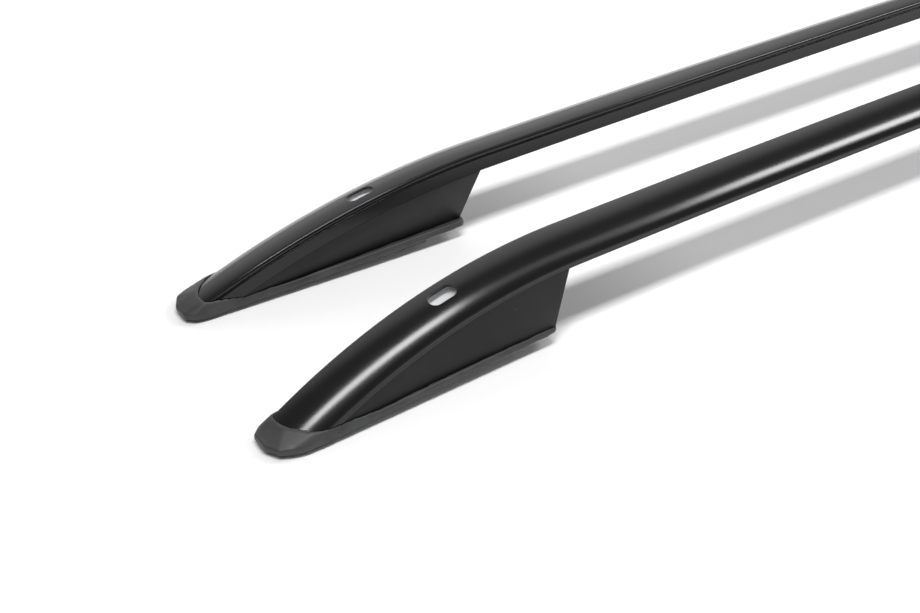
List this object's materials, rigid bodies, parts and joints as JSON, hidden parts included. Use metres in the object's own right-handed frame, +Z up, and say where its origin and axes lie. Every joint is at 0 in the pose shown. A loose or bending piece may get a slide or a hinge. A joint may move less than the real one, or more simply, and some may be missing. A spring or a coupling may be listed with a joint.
{
  "type": "roof side rail pair",
  "caption": "Bent hollow roof rails with domed tops, slots for load bars, moulded feet and rubber boots, standing side by side.",
  "frame": {"origin": "on the surface the pair stands on, midway between the two rails and halfway along them", "axes": "+X along the rails towards their rear ends, +Y across from the left rail to the right rail, +Z up"},
  "size_m": [1.9216, 0.2298, 0.0926],
  "materials": {
    "bar": "satin black powder coat on a bent hollow aluminium extrusion, bare metal inside the slots",
    "foot": "fine-grained moulded black plastic",
    "boot": "matt moulded dark grey rubber",
    "plate": "zinc-plated pressed steel",
    "fastener": "bright zinc-plated steel"
  },
  "bodies": {
    "root": {"left_bar": "bar", "left_front_foot": "foot", "left_front_boot": "boot", "left_front_plate": "plate", "left_front_weld_nuts": "fastener", "left_front_bar_screws": "fastener", "left_front_plate_screws": "fastener", "left_rear_foot": "foot", "left_rear_boot": "boot", "left_rear_plate": "plate", "left_rear_weld_nuts": "fastener", "left_rear_bar_screws": "fastener", "left_rear_plate_screws": "fastener", "right_bar": "bar", "right_front_foot": "foot", "right_front_boot": "boot", "right_front_plate": "plate", "right_front_weld_nuts": "fastener", "right_front_bar_screws": "fastener", "right_front_plate_screws": "fastener", "right_rear_foot": "foot", "right_rear_boot": "boot", "right_rear_plate": "plate", "right_rear_weld_nuts": "fastener", "right_rear_bar_screws": "fastener", "right_rear_plate_screws": "fastener"}
  },
  "joints": []
}
